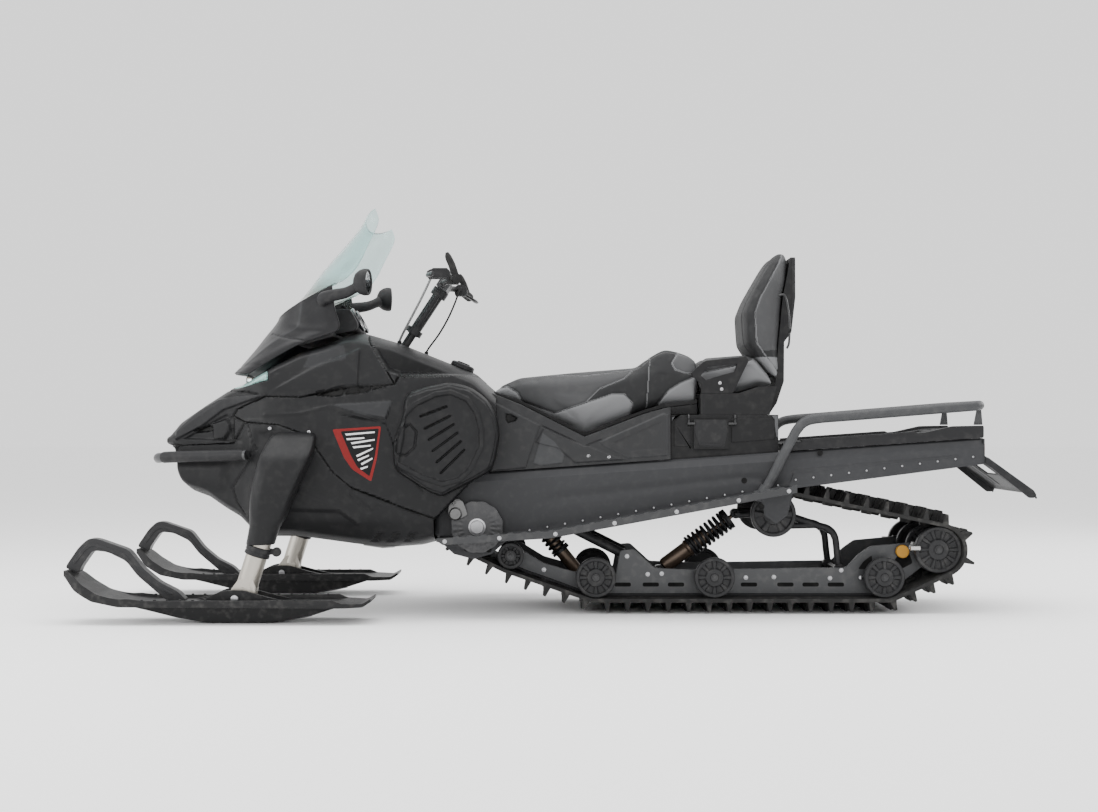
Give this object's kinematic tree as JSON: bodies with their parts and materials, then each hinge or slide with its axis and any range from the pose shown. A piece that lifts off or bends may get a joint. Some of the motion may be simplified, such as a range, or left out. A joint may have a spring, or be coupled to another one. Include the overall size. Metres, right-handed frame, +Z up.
{
  "type": "snowmobile",
  "caption": "Two-up utility snowmobile with fork legs, skis on turning legs, a long lugged track, a tall windshield, a lifting passenger seat, a cargo deck with a rack, and a tow hitch.",
  "frame": {"origin": "on the ground under the middle of the machine's box", "axes": "+X to the front, +Y to the machine's left, +Z up"},
  "size_m": [3.329, 1.1, 1.418],
  "materials": {
    "body_plastic": "moulded charcoal plastic, satin, light scuffs on its edges",
    "black_plastic": "fine-grained black plastic",
    "coated_metal": "dark grey powder coat with a fine texture",
    "black_metal": "black satin paint",
    "bright_tube": "ground and anodised tube, warm grey",
    "alloy": "bare machined alloy",
    "steel": "brushed steel",
    "track_rubber": "black moulded rubber with a dusty bloom",
    "seat_cover": "grained vinyl in two greys, stitched",
    "screen": "clear moulded screen with a faint green tint",
    "lens": "clear lens over a dark reflector",
    "lamp_red": "red translucent lamp",
    "grip_rubber": "soft black rubber"
  },
  "bodies": {
    "chassis": {"tunnel": "coated_metal", "running_boards": "coated_metal", "belly_pan": "body_plastic", "hood": "body_plastic", "side_panel_left": "body_plastic", "side_panel_right": "body_plastic", "nose_cover": "body_plastic", "headlights": "lens", "windshield_cowl": "black_plastic", "windshield": "screen", "mirrors": "black_plastic", "console": "body_plastic", "fuel_cap": "black_plastic", "engine_block": "alloy", "front_bumper": "black_metal", "fork_housings": "body_plastic", "driver_seat": "seat_cover", "foot_covers": "body_plastic", "storage_box": "black_plastic", "cargo_deck": "black_plastic", "cargo_rack": "coated_metal", "tail_lamps": "lamp_red", "snow_flap": "black_plastic", "tow_hitch": "black_metal", "brake_caliper": "alloy", "drive_axle": "steel", "track": "track_rubber", "slide_rails": "coated_metal", "bogie_wheels": "black_plastic", "rear_wheels": "black_plastic", "carrier_wheels": "black_plastic", "suspension_arms": "black_metal", "shock_absorbers": "steel", "control_cables": "grip_rubber"},
    "steering": {"steering_column": "black_metal", "handlebar": "black_metal"},
    "ski_left": {"fork_leg_left": "bright_tube", "ski_left": "black_plastic", "ski_loop_left": "black_plastic"},
    "ski_right": {"fork_leg_right": "bright_tube", "ski_right": "black_plastic", "ski_loop_right": "black_plastic"},
    "passenger_seat": {"seat_base": "black_plastic", "passenger_cushion": "seat_cover", "backrest_cushion": "seat_cover", "grab_handles": "black_plastic"}
  },
  "joints": [
    {"name": "steering_turn", "type": "hinge", "parent": "chassis", "child": "steering", "pos_m": [0.5, 0, 1.06], "axis": [-0.5503, 0, 0.835], "range_deg": [-32, 32], "deforming": ["control_cables"]},
    {"name": "ski_left_turn", "type": "hinge", "parent": "chassis", "child": "ski_left", "pos_m": [1.063, 0.45, 0.111], "axis": [-0.3024, 0, 0.9532], "range_deg": [-28, 28]},
    {"name": "ski_right_turn", "type": "hinge", "parent": "chassis", "child": "ski_right", "pos_m": [1.063, -0.45, 0.111], "axis": [-0.3024, 0, 0.9532], "range_deg": [-28, 28]},
    {"name": "passenger_seat_tilt", "type": "hinge", "parent": "chassis", "child": "passenger_seat", "pos_m": [-0.58, -0.238, 0.716], "axis": [1, 0, 0], "range_deg": [0, 75]}
  ],
  "couplings": [
    {"joint": "ski_left_turn", "follows": "steering_turn", "ratio": 0.875},
    {"joint": "ski_right_turn", "follows": "steering_turn", "ratio": 0.875}
  ]
}
